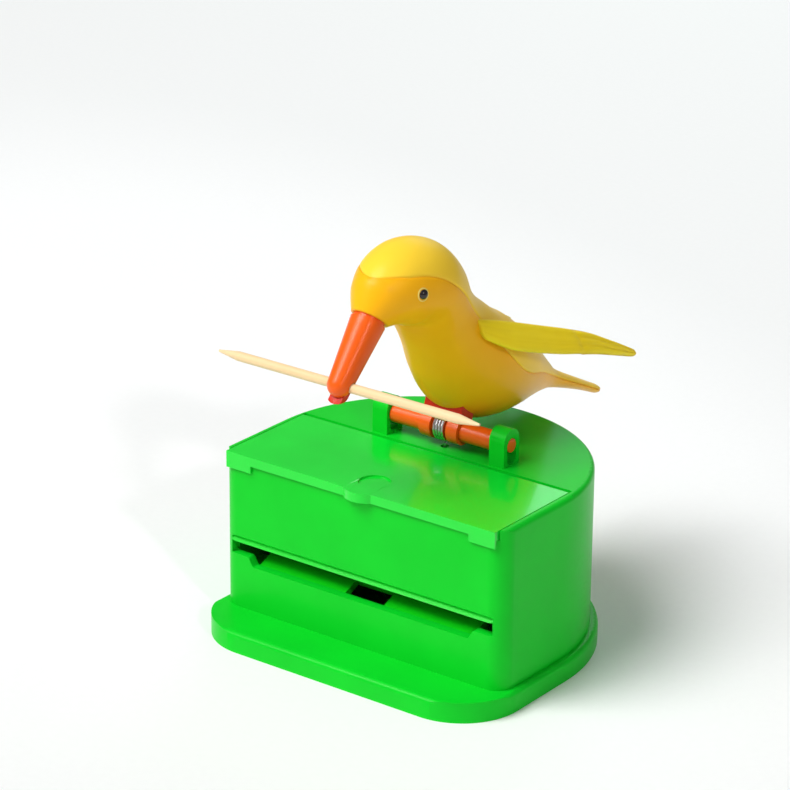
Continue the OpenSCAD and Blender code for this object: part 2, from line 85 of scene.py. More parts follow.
def add_object(name, data):
    """Link new data to the scene as an object at the origin."""
    thing = bpy.data.objects.new(name, data)
    bpy.context.scene.collection.objects.link(thing)
    return thing


camera = add_object("camera", bpy.data.cameras.new("camera"))
camera.data.lens = LENS_MM
camera.data.sensor_width = 36
camera.data.clip_start = 0.01
look_from(camera, AIM + towards(AZIMUTH, ELEVATION) * DISTANCE, AIM, CAMERA_ROLL)
bpy.context.scene.camera = camera
print("camera at", [round(c, 3) for c in camera.location])

# %% Lights


def lamp_spot(azimuth, elevation, distance, target=AIM):
    """Where a lamp stands: angles in degrees, and the distance from its target in metres."""
    return target + towards(math.radians(azimuth), math.radians(elevation)) * distance


def soft_light(name, azimuth, elevation, distance, size, watts, tint=(1, 1, 1)):
    """A square lamp aimed at the object."""
    data = bpy.data.lights.new(name, "AREA")
    data.size = size
    data.energy = watts
    data.color = tint
    look_from(add_object(name, data), lamp_spot(azimuth, elevation, distance), AIM)


soft_light("key", -34, 40, 0.9, 0.5, 2.4)
soft_light("sheen", -158, 25, 0.95, 0.4, 0.8, (0.80, 1.0, 0.95))
bird_spot = add_object("bird_spot", bpy.data.lights.new("bird_spot", "SPOT"))
bird_spot.data.energy = 95
bird_spot.data.spot_size = math.radians(4.4)
bird_spot.data.spot_blend = 0.6
bird_spot.data.shadow_soft_size = 0.12
BIRD_AIM = Vector((4, 12, 75)) * MM
look_from(bird_spot, lamp_spot(62, 30, 0.9, BIRD_AIM), BIRD_AIM)
sun = add_object("day", bpy.data.lights.new("day", "SUN"))
sun.data.energy = 2.5
sun.data.angle = math.radians(35)
look_from(sun, lamp_spot(-30, 55, 1), AIM)
world = bpy.data.worlds.new("studio")
world.use_nodes = True
world.node_tree.nodes["Background"].inputs["Color"].default_value = (1, 1, 1, 1)
world.node_tree.nodes["Background"].inputs["Strength"].default_value = 0.20
bpy.context.scene.world = world
# plain colour transform: bright plastic keeps its saturation
bpy.context.scene.view_settings.view_transform = "Standard"

# %% [markdown]
# ## Writing shaders as sums
# A shader is a graph, and a graph is slow to read as code. So a socket is wrapped in a small
# class whose operators add Math nodes, and a sum can be written as a sum. One method adds every
# other kind of node: it takes the node's type, its settings, and the values of its sockets.

# %% Shader arithmetic


class Num:
    """A number in a shader. Arithmetic on it adds Math nodes."""

    def __init__(self, finish, socket):
        self.finish = finish
        self.socket = socket

    def math(self, operation, first, second):
        made = self.finish.node("ShaderNodeMath", {"operation": operation},
                                {0: first, 1: second})
        return Num(self.finish, made.outputs[0])

    def __add__(self, other):
        return self.math("ADD", self, other)

    def __mul__(self, other):
        return self.math("MULTIPLY", self, other)

    __radd__ = __add__
    __rmul__ = __mul__


class Finish:
    """A material under construction."""

    def __init__(self, name):
        self.material = bpy.data.materials.new(name)
        self.material.use_nodes = True
        self.tree = self.material.node_tree
        self.tree.nodes.clear()
        self.coords = self.node("ShaderNodeTexCoord").outputs["Object"]

    def node(self, kind, settings=None, sockets=None, stops=None):
        """Add a node: first its settings, then a ramp's stops, then values or links."""
        made = self.tree.nodes.new(kind)
        for key, value in (settings or {}).items():
            setattr(made, key, value)
        if stops:
            ramp = made.color_ramp
            while len(ramp.elements) < len(stops):
                ramp.elements.new(1)
            for element, (place, grey) in zip(ramp.elements, stops):
                element.position = place
                element.color = (grey, grey, grey, 1)
        for key, value in (sockets or {}).items():
            target = made.inputs[key]
            if isinstance(value, Num):
                self.tree.links.new(value.socket, target)
            elif isinstance(value, bpy.types.NodeSocket):
                self.tree.links.new(value, target)
            else:
                target.default_value = value
        return made

    def stretched(self, scale):
        """Object coordinates, scaled along each axis."""
        return self.node("ShaderNodeMapping", None,
                         {"Vector": self.coords, "Scale": scale}).outputs[0]

    def noise(self, scale, detail=3, rough=0.5, vector=None):
        """Cloudy number from 0 to 1; scale is in bumps per metre."""
        made = self.node("ShaderNodeTexNoise", None, {
            "Vector": vector or self.coords, "Scale": scale, "Detail": detail,
            "Roughness": rough})
        return Num(self, made.outputs[0])

    def ramp(self, number, stops):
        """Pass a number through a ramp of (place, value) stops."""
        made = self.node("ShaderNodeValToRGB", None, {"Fac": number}, stops)
        return Num(self, made.outputs[0])

    def mix(self, amount, first, second):
        """Colour between two colours."""
        made = self.node("ShaderNodeMix", {"data_type": "RGBA"},
                         {"Factor": amount, 6: first, 7: second})
        return made.outputs[2]

    def bump(self, height, depth, normal=None):
        sockets = {"Height": height, "Distance": depth, "Strength": 1.0}
        if normal:
            sockets["Normal"] = normal
        return self.node("ShaderNodeBump", None, sockets).outputs[0]

    def finish(self, **sockets):
        """Close the material with a Principled shader."""
        shader = self.node("ShaderNodeBsdfPrincipled", None,
                           {k.replace("_", " "): v for k, v in sockets.items()})
        out = self.node("ShaderNodeOutputMaterial")
        self.tree.links.new(shader.outputs[0], out.inputs[0])
        return self.material


def shade(colour, factor):
    """The same colour, lighter or darker, and opaque."""
    return tuple(min(c * factor, 1) for c in colour[:3]) + (1,)


print("shader classes:", Num.__name__, Finish.__name__)

# %% [markdown]
# ## Moulded plastic
# All the coloured pieces are gloss plastic from a polished mould. Such a surface isn't a perfect
# mirror: it has a very shallow waviness where the plastic shrank, a fine grain, faint clouds
# where the pigment swirled, and light scuffs. One function makes them all. The
# bird's plastic is a little milky, so light goes into it before it comes back.

# %% Plastic


def plastic(name, colour, gloss=0.18, milky=0.0, coat=0.5, wave=0.00003, glow=None,
            shine=0.22):
    """Gloss moulded plastic of one colour."""
    f = Finish(name)
    clouds = f.ramp(f.noise(55, 4, 0.55), [(0.3, 0), (0.75, 1)])
    flow = f.ramp(f.noise(30, 5, 0.6, f.stretched((1, 1, 4))), [(0.35, 0), (0.7, 1)])
    tone = f.mix(clouds, shade(colour, 0.92), shade(colour, 1.05))
    tone = f.mix(flow * 0.35, tone, shade(colour, 0.95))
    scuffs = f.ramp(f.noise(900, 6, 0.7, f.stretched((1, 0.2, 1))), [(0.55, 0), (0.8, 1)])
    rough = gloss + clouds * 0.05 + scuffs * 0.10
    ripple = f.bump(f.noise(130, 2), wave)
    grain = f.bump(f.noise(4200, 2), 0.0000025, ripple)
    return f.finish(Base_Color=tone, Roughness=rough, Normal=grain, Coat_Weight=coat,
                    Coat_Roughness=0.06, IOR=1.5, Specular_IOR_Level=shine,
                    Subsurface_Weight=milky,
                    Subsurface_Radius=glow or (0.004, 0.004, 0.004), Subsurface_Scale=1.0)


GREEN = (0.003, 0.58, 0.020, 1)
# the lid's lighter green is painted light: a sheen on the top, over the box green
LID_GREEN_WITH_SHEEN = (0.002, 0.70, 0.030, 1)
green = plastic("green_box", GREEN, gloss=0.30, coat=0.04, shine=0.10)
lid_green_with_sheen = plastic("green_lid_painted_sheen", LID_GREEN_WITH_SHEEN, gloss=0.16, coat=0.35, shine=0.3)
inner_green = plastic("green_inside", (0.004, 0.60, 0.008, 1), gloss=0.34, coat=0.04, shine=0.10)
breast_yellow = plastic("amber_yellow", (1.0, 0.47, 0.008, 1), 0.34, 0.03, 0.06,
                        glow=(0.003, 0.0012, 0.0003), shine=0.10)
crown_yellow = plastic("lemon_yellow", (1.0, 0.64, 0.040, 1), 0.36, 0.03, 0.05,
                       glow=(0.003, 0.002, 0.0004), shine=0.10)
wing_yellow = plastic("wing_yellow", (1.0, 0.74, 0.020, 1), 0.38, 0.03, 0.03,
                      glow=(0.002, 0.0016, 0.0004), shine=0.08)
orange = plastic("orange_parts", (0.88, 0.115, 0.005, 1), 0.28, 0.05, 0.12,
                 glow=(0.002, 0.0004, 0.0002))
# a dark red copy of the orange: painted shade for the legs and the lower beak
shaded_orange = plastic("orange_painted_shade", (0.60, 0.022, 0.004, 1), 0.30, 0.03, 0.10)
eye_black = plastic("eye_black", (0.010, 0.006, 0.008, 1), 0.10, 0, 0.8)
# a pale copy of the crown yellow: a painted highlight on the eye's lip
painted_highlight_cream = plastic("eye_rim_painted_highlight", (1.0, 0.80, 0.22, 1), 0.35, 0.05, 0.2)
print("plastics made")

# %% [markdown]
# ## Steel and wood
# The springs, the pin and the screws are bright steel with fine marks from the drawing die. The
# toothpick is birch: pale, with fine fibres that run its whole length, a few darker streaks and
# small specks. The fibre pattern is noise stretched along the stick.

# %% Steel and wood


def steel_wire():
    f = Finish("spring_steel")
    marks = f.noise(2500, 4, 0.6)
    return f.finish(Base_Color=f.mix(marks, (0.55, 0.55, 0.57, 1), (0.72, 0.72, 0.73, 1)),
                    Metallic=1.0, Roughness=marks * 0.15 + 0.22,
                    Normal=f.bump(marks, 0.000006))


def birch():
    f = Finish("birch")
    fibres = f.noise(900, 6, 0.65, f.stretched((0.035, 1, 1)))
    streaks = f.ramp(f.noise(420, 5, 0.6, f.stretched((0.03, 1, 1))), [(0.42, 0), (0.72, 1)])
    speck = f.ramp(f.noise(1500, 3, 0.5, f.stretched((0.12, 1, 1))), [(0.66, 0), (0.78, 1)])
    tone = f.mix(fibres, (0.82, 0.56, 0.28, 1), (0.90, 0.70, 0.42, 1))
    tone = f.mix(streaks * 0.5, tone, (0.68, 0.42, 0.18, 1))
    tone = f.mix(speck * 0.35, tone, (0.55, 0.33, 0.14, 1))
    return f.finish(Base_Color=tone, Roughness=fibres * 0.2 + 0.55,
                    Normal=f.bump(fibres, 0.00006), Subsurface_Weight=0.05)


steel = steel_wire()
wood = birch()
print("steel and wood made")

# %% [markdown]
# ## Mesh helpers
# Two helpers turn a grid of points into a mesh, and one keeps the plain mesh that an object's
# modifiers make. One softens the edges of a moulded part: no moulded edge is truly sharp, and the
# round is what catches the light. The last one lets a piece ride on its body and stand for the
# parts of the design that it replaces.

# %% Mesh helpers
WELD = 0.000002
CAD_WELD = 0.000004


def mesh_object(name, verts, faces, material):
    """New object from points in metres; its faces are smooth and turned outward."""
    mesh = bpy.data.meshes.new(name)
    mesh.from_pydata([tuple(v) for v in verts], [], faces)
    b = bmesh.new()
    b.from_mesh(mesh)
    bmesh.ops.remove_doubles(b, verts=b.verts, dist=WELD)
    bmesh.ops.dissolve_degenerate(b, edges=b.edges, dist=WELD)
    bmesh.ops.recalc_face_normals(b, faces=b.faces)
    for face in b.faces:
        face.smooth = True
    b.to_mesh(mesh)
    b.free()
    mesh.materials.append(material)
    return add_object(name, mesh)


def grid_faces(rows, columns, start=0, wrap=False):
    """Quads between neighbouring rows of points; wrap joins the last column to the first."""
    faces = []
    for i in range(rows - 1):
        for k in range(columns if wrap else columns - 1):
            n = (k + 1) % columns
            faces.append((start + i * columns + k, start + i * columns + n,
                          start + (i + 1) * columns + n, start + (i + 1) * columns + k))
    return faces


def freeze(thing):
    """Apply an object's modifiers by keeping the mesh that they make."""
    graph = bpy.context.evaluated_depsgraph_get()
    made = bpy.data.meshes.new_from_object(thing.evaluated_get(graph))
    thing.modifiers.clear()
    thing.data = made
    return thing


def softened(node, material, width=0.25, steps=3, angle=32):
    """A CAD node's shape with its sharp edges rounded; width is in millimetres."""
    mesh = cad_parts[node].data.copy()
    b = bmesh.new()
    b.from_mesh(mesh)
    bmesh.ops.remove_doubles(b, verts=b.verts, dist=CAD_WELD)
    for face in b.faces:
        face.smooth = True
    b.to_mesh(mesh)
    b.free()
    mesh.materials.clear()
    mesh.materials.append(material)
    piece = add_object(node + "_shape", mesh)
    bevel = piece.modifiers.new("round", "BEVEL")
    bevel.width = width * MM
    bevel.segments = steps
    bevel.limit_method = "ANGLE"
    bevel.angle_limit = math.radians(angle)
    bevel.miter_outer = "MITER_ARC"
    # large flats decide the shading, so they stay flat and only the rounds bend the light
    even = piece.modifiers.new("flats", "WEIGHTED_NORMAL")
    even.mode = "FACE_AREA"
    even.weight = 90
    return freeze(piece)


def mount(piece, body, *nodes):
    """Make a piece ride on a body and stand for CAD nodes of the same finish."""
    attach(piece, body)
    if nodes:
        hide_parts(*nodes)
    return piece


print("points closer than", WELD, "m are welded, and on CAD shapes", CAD_WELD, "m")

# %% [markdown]
# ## The box
# The housing, the lid, the chute and the base plate keep the shape that the design gives them.
# What the design leaves out is the small round on every edge, so each is copied, its doubled
# points are merged, and a bevel goes along every edge that turns by more than 32 degrees.

# %% Box
housing = mount(softened("housing", green, 0.3), "box", "housing")
mount(softened("base_plate", inner_green, 0.25), "box", "base_plate")
mount(softened("hopper_chute", inner_green, 0.2), "box", "hopper_chute")
mount(softened("refill_lid", lid_green_with_sheen, 0.28), "lid", "refill_lid")
print("housing:", len(housing.data.polygons), "faces")

# %% [markdown]
# ## Beak, legs and rod
# These parts have the right shape as designed, and only need their edges rounded. The legs and
# the lower beak take a darker red copy of the orange, which is painted shade where they sit under
# the belly and face down. The legs' faces close to the axle, their collars on the rod, keep the
# plain orange.

# %% Beak, legs and rod
mount(softened("perch_rod", orange, 0.25), "axle", "perch_rod")
legs = softened("leg_bracket", shaded_orange, 0.3)
legs.data.materials.append(orange)
rod_lo, rod_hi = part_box("perch_rod")
axle_y, axle_z = (rod_lo[1] + rod_hi[1]) / 2, (rod_lo[2] + rod_hi[2]) / 2
COLLAR_REACH = 3.1 * MM
# faces near the axle keep the orange; the other faces of the legs keep the painted shade
for face in legs.data.polygons:
    if math.hypot(face.center[1] - axle_y, face.center[2] - axle_z) < COLLAR_REACH:
        face.material_index = 1
mount(legs, "bird", "leg_bracket")
mount(softened("upper_beak", orange, 0.12, 2), "bird", "upper_beak")
# the lower beak faces down, so it takes the orange with painted shade
mount(softened("lower_beak", shaded_orange, 0.12, 2), "jaw", "lower_beak")
print("legs:", len(legs.data.polygons), "faces")

# %% [markdown]
# ## The bird's body
# The body is one smooth carved shape, moulded as two shells: a lemon crown and back, and an
# amber face and breast. A loft suits it: rings of known width and height stand along a curved
# spine, and a smooth curve runs through them. Each ring is cut where the parting line crosses it,
# so both shells are made of rows that end exactly on that line. The body turns on the rod, so
# its spine is given from the rod's axis.

# %% Stations of the body
AXLE = Vector((0, round(axle_y / MM, 2), round(axle_z / MM, 2)))
# along the spine from the beak: y and z from the axle, lean, half-width, height above, depth below
BODY = [(-26.2, 31.4, -50, 4.0, 4.0, 4.0), (-23.4, 33.4, -38, 6.2, 6.3, 6.2),
        (-19.6, 34.9, -20, 8.2, 8.5, 7.9), (-15.0, 35.5, 0, 9.4, 9.4, 8.2),
        (-10.6, 34.3, 20, 9.8, 9.6, 8.4), (-7.2, 31.0, 38, 9.3, 9.4, 8.6),
        (-4.6, 27.0, 48, 8.8, 8.6, 8.6), (-1.9, 23.0, 46, 9.2, 9.1, 9.1),
        (1.3, 18.8, 42, 10.2, 10.4, 10.4), (5.6, 14.5, 36, 11.2, 11.3, 11.7),
        (10.6, 11.6, 28, 11.2, 11.3, 12.2), (15.6, 9.4, 24, 10.4, 10.3, 11.1),
        (21.2, 7.1, 22, 8.8, 8.6, 9.0), (26.8, 4.5, 24, 6.6, 6.2, 6.2),
        (32.5, 2.0, 25, 4.4, 3.9, 3.9), (37.5, -0.4, 25, 3.2, 2.2, 2.2),
        (48.0, -5.0, 25, 2.6, 1.3, 1.3), (56.4, -8.9, 25, 1.9, 1.0, 1.0)]
# height of the parting line on each ring, as a share of the ring's half height
PARTING = [1.0, 1.0, 0.645, 0.36, 0.18, 0.22, 0.33, 0.35, 0.31, 0.25, 0.11, 0.03, 0.06, 0.14,
           0.15, 0.25, 0.11, 0.03]
CROWN_START = 1.35
ROWS_PER_RING = 9
COLUMNS = 60


def through(values, place):
    """Smooth curve through a list of values, read at a place counted in list steps."""
    i = min(int(place), len(values) - 2)
    f = place - i
    a, b, c, d = (values[max(0, min(len(values) - 1, i + k))] for k in (-1, 0, 1, 2))
    return 0.5 * (2 * b + (c - a) * f + (2 * a - 5 * b + 4 * c - d) * f * f
                  + (3 * b - a - 3 * c + d) * f ** 3)


def ring_at(place):
    return [through([ring[k] for ring in BODY], place) for k in range(6)]


def parting_at(place):
    """The seam's share at a place; the crown begins as a rounded point."""
    if place <= CROWN_START:
        return 1.0
    if place < 2:
        return 1 - (1 - PARTING[2]) * (place - CROWN_START) / (2 - CROWN_START)
    return through(PARTING, place)


def tail_end(place):
    """1 along the body, falling to 0 over the last quarter step, which closes the tip."""
    left = (len(BODY) - 1 - place) / 0.25
    return 1.0 if left >= 1 else math.sqrt(max(0.0, 1 - (1 - left) ** 2))


def body_point(place, turn, wall=0.0):
    """Point on the skin; turn 0 is the right side and a quarter turn is the top."""
    y, z, lean, half, up, down = ring_at(place)
    # near the tail the wall thins with the body
    thin = min(wall, 0.4 * min(half, up, down))
    closing = tail_end(place)
    out = ((up if math.sin(turn) > 0 else down) - thin) * math.sin(turn) * closing
    lean = math.radians(lean)
    across = (half - thin) * math.cos(turn) * closing
    return (AXLE + Vector((across, y + out * math.sin(lean), z + out * math.cos(lean)))) * MM


print("rings:", len(BODY), "axle:", [round(c, 3) for c in AXLE])

# %% [markdown]
# ## Two shells and the groove between them
# Each shell has an outer skin, an inner skin a wall's thickness in, and rims that join the two.
# At the parting line the outer skin rolls inwards over its last half millimetre, as moulded
# halves do, so the two rolled edges leave a fine groove all round the bird.

# %% Shells
WALL = 1.3
GROOVE = 0.28
EDGE_ROLL = 0.55
BROW = 0.35
CROWN_SINK = 0.08


def brow(place, turn, upper):
    """The face swells just in front of the crown, and the crown's front edge lies a little in."""
    if upper:
        return CROWN_SINK * max(0.0, 1 - (place - CROWN_START) / 0.8) ** 2
    return -BROW * math.exp(-((place - 1.15) / 0.3) ** 2) * max(0.0, math.sin(turn)) ** 2


def shell(name, upper, material):
    """The crown and back if upper, otherwise the face and breast."""
    last = len(BODY) - 1
    first = CROWN_START if upper else 0.0
    count = int((last - first) * ROWS_PER_RING)
    places = [first + (last - first) * (i / count) ** (1.25 if upper else 1)
              for i in range(count + 1)]
    verts, starts = [], []
    for wall in (0.0, WALL):
        starts.append(len(verts))
        for place in places:
            edge = math.asin(max(-1, min(1, parting_at(place))))
            begin, end = ((edge, math.pi - edge) if upper
                          else (math.pi - edge, 2 * math.pi + edge))
            size = max(ring_at(place)[3], 1.0)
            # the groove starts with the crown and is full a sixth of a step further back
            cut = min(1, max(0, (place - CROWN_START) * 6))
            for k in range(COLUMNS + 1):
                # columns crowd together towards both edges, where the skin rolls in
                share = 0.5 - 0.5 * math.cos(math.pi * k / COLUMNS)
                from_edge = min(share, 1 - share) * abs(end - begin) * size
                dip = max(0.0, 1 - from_edge / EDGE_ROLL) ** 2 * GROOVE * cut
                turn = begin + share * (end - begin)
                dip += brow(place, turn, upper) if not wall else 0.0
                verts.append(body_point(place, turn, wall + dip))
    width = COLUMNS + 1
    faces = []
    for start in starts:
        faces += grid_faces(len(places), width, start)
    outer, inner = starts
    for i, place in enumerate(places[:-1]):
        if place >= CROWN_START:
            for k in (0, COLUMNS):
                a, b = i * width + k, (i + 1) * width + k
                faces.append((outer + a, outer + b, inner + b, inner + a))
    if not upper:
        for k in range(COLUMNS):
            faces.append((outer + k, outer + k + 1, inner + k + 1, inner + k))
    return mesh_object(name, verts, faces, material)


breast = mount(shell("face_and_breast", False, breast_yellow), "bird", "breast_shell")
crown = mount(shell("crown_and_back", True, crown_yellow), "bird", "back_shell")
print("shells:", len(breast.data.polygons), len(crown.data.polygons), "faces")

# %% [markdown]
# ## Wings
# A wing is a thin blade that hangs from the flank and sweeps back beside the tail. Its outer face
# carries three long feather ridges and one crease where the flight feathers begin. The ridges
# are real relief, because they shape the outline of the light. The blade is a closed loft of
# sections, and the other wing is the same loft with its x turned over.

# %% Wings
WING = [(8.0, -1.5, 26.0, 4.4), (9.8, 4.6, 24.4, 6.8), (11.5, 17.3, 20.0, 6.6),
        (13.0, 25.4, 17.2, 5.8), (14.0, 31.8, 14.7, 4.9), (15.0, 37.1, 12.0, 3.7),
        (16.0, 44.3, 8.2, 2.0), (16.2, 46.2, 7.1, 1.0)]
WING_HANG = math.radians(35)
WING_THICK = 1.5
RIDGES = 3
RIDGE_HEIGHT = 0.55
CREASE_PLACE = 3.2
CREASE_DEPTH = 0.22
FULL_CHORD = 3.2


def wing(name, side, material):
    rows, around = 110, 64
    hang = Vector((math.sin(WING_HANG), 0, -math.cos(WING_HANG)))
    out = Vector((math.cos(WING_HANG), 0, math.sin(WING_HANG)))
    verts = []
    for i in range(rows + 1):
        along = (len(WING) - 1) * i / rows
        x, y, z, chord = (through([s[k] for s in WING], along) for k in range(4))
        ends = min(i / rows / 0.02, (1 - i / rows) / 0.03, 1)
        closing = math.sqrt(max(0.0, 1 - (1 - ends) ** 2))
        for k in range(around):
            turn = 2 * math.pi * k / around
            across = 0.5 - 0.5 * math.cos(turn)
            # a full section with round edges
            side_out = 1 if math.sin(turn) > 0 else -1
            lift = abs(math.sin(turn)) ** 0.6 * side_out * WING_THICK / 2
            lift *= min(1, chord / FULL_CHORD)
            if side_out > 0:
                crease = math.exp(-((along - CREASE_PLACE) / 0.12) ** 2)
                later = 1 / (1 + math.exp(-(along - CREASE_PLACE) * 8))
                groove = abs(math.sin(math.pi * RIDGES * across)) ** 0.5
                lift -= RIDGE_HEIGHT * (1 - groove) * (0.35 + 0.65 * later)
                lift -= CREASE_DEPTH * crease
            spot = Vector((x, y, z)) + hang * (across * chord * closing) + out * (lift * closing)
            spot = AXLE + spot
            verts.append(Vector((spot.x * side, spot.y, spot.z)) * MM)
    faces = grid_faces(rows + 1, around, wrap=True)
    faces.append(tuple(range(around)))
    faces.append(tuple(rows * around + k for k in reversed(range(around))))
    return mesh_object(name, verts, faces, material)


mount(wing("wing_right", 1, wing_yellow), "bird", "right_wing")
mount(wing("wing_left", -1, wing_yellow), "bird", "left_wing")
print("wing stations:", len(WING), "ridges:", RIDGES)

# %% [markdown]
# ## Eyes
# The eye is a pressed-in black bead with a raised lip round it; the lip's pale cream is a painted
# highlight. The bead is a dome drawn out a little at its upper back corner, so it reads as a drop.
# To seat them, a line is cast from the side for each point of the bead and of the lip, and the
# point starts where it meets the face.

# %% Eyes
from mathutils.bvhtree import BVHTree

eye_lo, eye_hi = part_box("right_eye")
EYE = Vector(((eye_lo[0] + eye_hi[0]) / 2, (eye_lo[1] + eye_hi[1]) / 2,
              (eye_lo[2] + eye_hi[2]) / 2))
BEAD_Y, BEAD_Z, BEAD_RISE = 0.85, 1.0, 0.75
LIP_Y, LIP_Z, LIP_WIRE = 1.12, 1.32, 0.12
DROP = 0.22
graph = bpy.context.evaluated_depsgraph_get()
skin_tree = BVHTree.FromObject(breast, graph)


def on_face(side, y, z):
    """The point of the face that is met first, coming from the side at a height."""
    hit = skin_tree.ray_cast(Vector((side * 0.05, y, z)), Vector((-side, 0, 0)))[0]
    return hit or Vector((side * EYE.x, y, z))


def eye_bead(name, side, material):
    """Drop-shaped bead: rings from the rim to the crown of the dome."""
    rings, around = 12, 40
    verts = []
    for i in range(rings):
        rise = math.pi / 2 * i / (rings - 1)
        for k in range(around):
            turn = 2 * math.pi * k / around
            drop = 1 + DROP * max(0, math.cos(turn - 0.6)) ** 3
            y = EYE.y + BEAD_Y * MM * math.cos(turn) * math.cos(rise) * drop
            z = EYE.z + BEAD_Z * MM * math.sin(turn) * math.cos(rise) * drop
            spot = on_face(side, y, z)
            verts.append(spot + Vector((side * (BEAD_RISE * math.sin(rise) - 0.1) * MM, 0, 0)))
    back = len(verts)
    verts.append(Vector((side * (EYE.x - MM), EYE.y, EYE.z)))
    faces = grid_faces(rings, around, wrap=True)
    faces += [(back, (k + 1) % around, k) for k in range(around)]
    return mesh_object(name, verts, faces, material)


def eye_lip(name, side, material):
    """Thin raised ring that follows the skin."""
    around, tube = 72, 10
    verts = []
    for k in range(around):
        turn = 2 * math.pi * k / around
        base = on_face(side, EYE.y + LIP_Y * MM * math.cos(turn),
                       EYE.z + LIP_Z * MM * math.sin(turn))
        away = Vector((0, math.cos(turn), math.sin(turn)))
        for j in range(tube):
            bend = 2 * math.pi * j / tube
            verts.append(base + (away * math.cos(bend) + Vector((side, 0, 0)) * math.sin(bend))
                         * LIP_WIRE * MM)
    faces = []
    for k in range(around):
        for j in range(tube):
            n, m = (k + 1) % around, (j + 1) % tube
            faces.append((k * tube + j, n * tube + j, n * tube + m, k * tube + m))
    return mesh_object(name, verts, faces, material)


for side, name in ((1, "right"), (-1, "left")):
    mount(eye_bead("eye_bead_" + name, side, eye_black), "bird", name + "_eye")
    lip = mount(eye_lip("eye_lip_" + name, side, painted_highlight_cream), "bird")
print("eyes seated at", [round(c * 1000, 1) for c in EYE])

# %% [markdown]
# ## Springs and screws by Geometry Nodes
# A coil is a rule: so many turns, so wide, so long, of such a wire. Geometry Nodes states the rule
# with named inputs, and the little spring of the beak is made by it. The return spring keeps the
# design's own shape, because of its long leg. A screw repeats as well: one screw with a cross
# recess in its head is made once in the tree and set down on each point. The trees end in
# Realize Instances, since a plain mesh is what is kept.

# %% Trees


def socket_of(tree, name):
    """Identifier of a named input."""
    return next(i.identifier for i in tree.interface.items_tree if i.name == name)


def new_tree(name, sizes):
    tree = bpy.data.node_groups.new(name, "GeometryNodeTree")
    tree.interface.new_socket("Geometry", in_out="INPUT", socket_type="NodeSocketGeometry")
    tree.interface.new_socket("Geometry", in_out="OUTPUT", socket_type="NodeSocketGeometry")
    for size, kind in sizes.items():
        tree.interface.new_socket(size, in_out="INPUT", socket_type=kind)
    return tree, tree.nodes.new("NodeGroupInput"), tree.nodes.new("NodeGroupOutput")


def gn(tree, kind, settings=None, links=None):
    """Add a tree node: settings, then links or values of its sockets."""
    made = tree.nodes.new(kind)
    for key, value in (settings or {}).items():
        setattr(made, key, value)
    for key, value in (links or {}).items():
        if isinstance(value, bpy.types.NodeSocket):
            tree.links.new(value, made.inputs[key])
        else:
            made.inputs[key].default_value = value
    return made


def finish_tree(tree, leaving, shape):
    solid = gn(tree, "GeometryNodeRealizeInstances", None, {0: shape})
    painted = gn(tree, "GeometryNodeSetMaterial", None, {"Geometry": solid.outputs[0],
                                                         "Material": steel})
    tree.links.new(painted.outputs[0], leaving.inputs[0])


def grow(name, tree, sizes, verts=()):
    """Run a tree on an object, with its inputs set, and keep the plain mesh."""
    mesh = bpy.data.meshes.new(name)
    mesh.from_pydata([tuple(v) for v in verts], [], [])
    thing = add_object(name, mesh)
    run = thing.modifiers.new("shape", "NODES")
    run.node_group = tree
    for size, value in sizes.items():
        run[socket_of(tree, size)] = value
    return freeze(thing)


def shift(thing, matrix):
    """Move the mesh, not the object."""
    thing.data.transform(matrix)
    thing.data.update()
    return thing


coil_tree, come, leave = new_tree("coil", {"Turns": "NodeSocketFloat",
                                           "Radius": "NodeSocketFloat",
                                           "Length": "NodeSocketFloat",
                                           "Wire": "NodeSocketFloat"})
spiral = gn(coil_tree, "GeometryNodeCurveSpiral", None, {
    "Resolution": 40, "Rotations": come.outputs["Turns"], "Start Radius": come.outputs["Radius"],
    "End Radius": come.outputs["Radius"], "Height": come.outputs["Length"]})
wire_ring = gn(coil_tree, "GeometryNodeCurvePrimitiveCircle", None,
               {"Resolution": 12, "Radius": come.outputs["Wire"]})
wound = gn(coil_tree, "GeometryNodeCurveToMesh", None,
           {0: spiral.outputs[0], 1: wire_ring.outputs[0], "Fill Caps": True})
smooth = gn(coil_tree, "GeometryNodeSetShadeSmooth", None, {0: wound.outputs[0]})
finish_tree(coil_tree, leave, smooth.outputs[0])
print("coil tree:", len(coil_tree.nodes), "nodes")

# %% Springs
ACROSS = Matrix.Rotation(math.radians(90), 4, "Y")


def spring(name, node, body, turns, radius, wire, length, centre):
    made = grow(name, coil_tree, {"Turns": turns, "Radius": radius * MM,
                                  "Length": length * MM, "Wire": wire / 2 * MM})
    shift(made, Matrix.Translation(Vector(centre))
          @ ACROSS @ Matrix.Translation((0, 0, -length / 2 * MM)))
    return mount(made, body, node)


jaw_lo, jaw_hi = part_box("jaw_spring")
jaw_middle = [(a + b) / 2 for a, b in zip(jaw_lo, jaw_hi)]
spring("jaw_coil", "jaw_spring", "bird", turns=2.0, radius=0.96, wire=0.26, length=0.56,
       centre=jaw_middle)
for name in ("return_spring", "jaw_pin", "leg_screws"):
    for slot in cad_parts[name].material_slots:
        slot.material = steel
print("jaw coil centre:", [round(c / MM, 1) for c in jaw_middle])

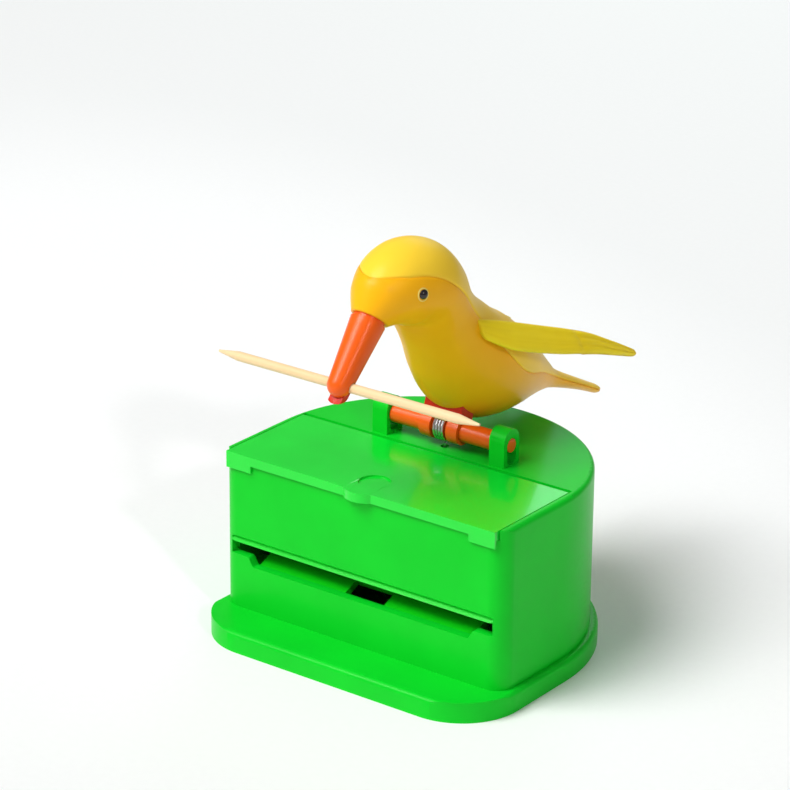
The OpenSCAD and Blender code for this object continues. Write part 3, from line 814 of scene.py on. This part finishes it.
# %% Base screws
SCREW_HEAD, HEAD_DEEP, SHANK, SCREW_LONG = 4.2, 0.9, 2.0, 8.0
OVERLAP = 0.1
CROSS_LONG, CROSS_WIDE, CROSS_DEEP = 2.4, 0.5, 1.0
screw_lo, screw_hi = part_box("base_screws")
REAR_ANGLE = math.radians(46)
front_x = screw_hi[0] / MM - SCREW_HEAD / 2
front_y = screw_lo[1] / MM + SCREW_HEAD / 2
rear_y = screw_hi[1] / MM - SCREW_HEAD / 2
screw_points = [Vector((s * x, y, screw_lo[2] / MM)) * MM for s in (-1, 1)
                for x, y in ((front_x, front_y), (front_x * math.sin(REAR_ANGLE), rear_y))]
screw_tree, come, leave = new_tree("screws", {"Head": "NodeSocketFloat",
                                              "Shank": "NodeSocketFloat"})
head = gn(screw_tree, "GeometryNodeMeshCylinder", None, {
    "Vertices": 40, "Radius": come.outputs["Head"], "Depth": HEAD_DEEP * MM})
shank = gn(screw_tree, "GeometryNodeMeshCylinder", None, {
    "Vertices": 32, "Radius": come.outputs["Shank"], "Depth": (SCREW_LONG - HEAD_DEEP) * MM})
up_head = gn(screw_tree, "GeometryNodeTransform", None, {
    0: head.outputs["Mesh"], "Translation": (0, 0, HEAD_DEEP / 2 * MM)})
up_shank = gn(screw_tree, "GeometryNodeTransform", None, {
    0: shank.outputs["Mesh"],
    "Translation": (0, 0, ((SCREW_LONG + HEAD_DEEP) / 2 - OVERLAP) * MM)})
bars = [gn(screw_tree, "GeometryNodeMeshCube", None, {"Size": Vector(size) * MM}) for size in
        ((CROSS_LONG, CROSS_WIDE, CROSS_DEEP), (CROSS_WIDE, CROSS_LONG, CROSS_DEEP))]
recess = gn(screw_tree, "GeometryNodeMeshBoolean", {"operation": "DIFFERENCE"},
            {0: up_head.outputs[0]})
for bar in bars:
    screw_tree.links.new(bar.outputs["Mesh"], recess.inputs[1])
screw_shape = gn(screw_tree, "GeometryNodeJoinGeometry")
screw_tree.links.new(recess.outputs[0], screw_shape.inputs[0])
screw_tree.links.new(up_shank.outputs[0], screw_shape.inputs[0])
spots = gn(screw_tree, "GeometryNodeMeshToPoints", None, {0: come.outputs["Geometry"]})
set_down = gn(screw_tree, "GeometryNodeInstanceOnPoints", None, {
    "Points": spots.outputs[0], "Instance": screw_shape.outputs[0]})
finish_tree(screw_tree, leave, set_down.outputs[0])
screws = grow("cross_screws", screw_tree, {"Head": SCREW_HEAD / 2 * MM, "Shank": SHANK / 2 * MM},
              screw_points)
mount(screws, "box", "base_screws")
print("screws:", len(screw_points))

# %% [markdown]
# ## Toothpick
# The toothpick is a plain stick of birch, pointed at both ends. Its shape is right already, so
# it only takes the wood. The fibres are part of the material.

# %% Toothpick
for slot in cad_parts["toothpick"].material_slots:
    slot.material = wood

# %% [markdown]
# ## Floor
# The floor is a wide pale plane with the faint tooth of paper.

# %% Floor
paper = Finish("paper_floor")
tooth = paper.noise(600, 4)
paper_tone = paper.mix(tooth, (0.90, 0.90, 0.90, 1), (0.93, 0.93, 0.93, 1))
paper_white = paper.finish(Base_Color=paper_tone, Roughness=tooth * 0.1 + 0.6,
                           Normal=paper.bump(tooth, 0.00002))
FAR = 3
floor = mesh_object("floor", [(-FAR, -FAR, 0), (FAR, -FAR, 0), (FAR, FAR, 0), (-FAR, FAR, 0)],
                    [(0, 1, 2, 3)], paper_white)
print("floor:", 2 * FAR, "m square")
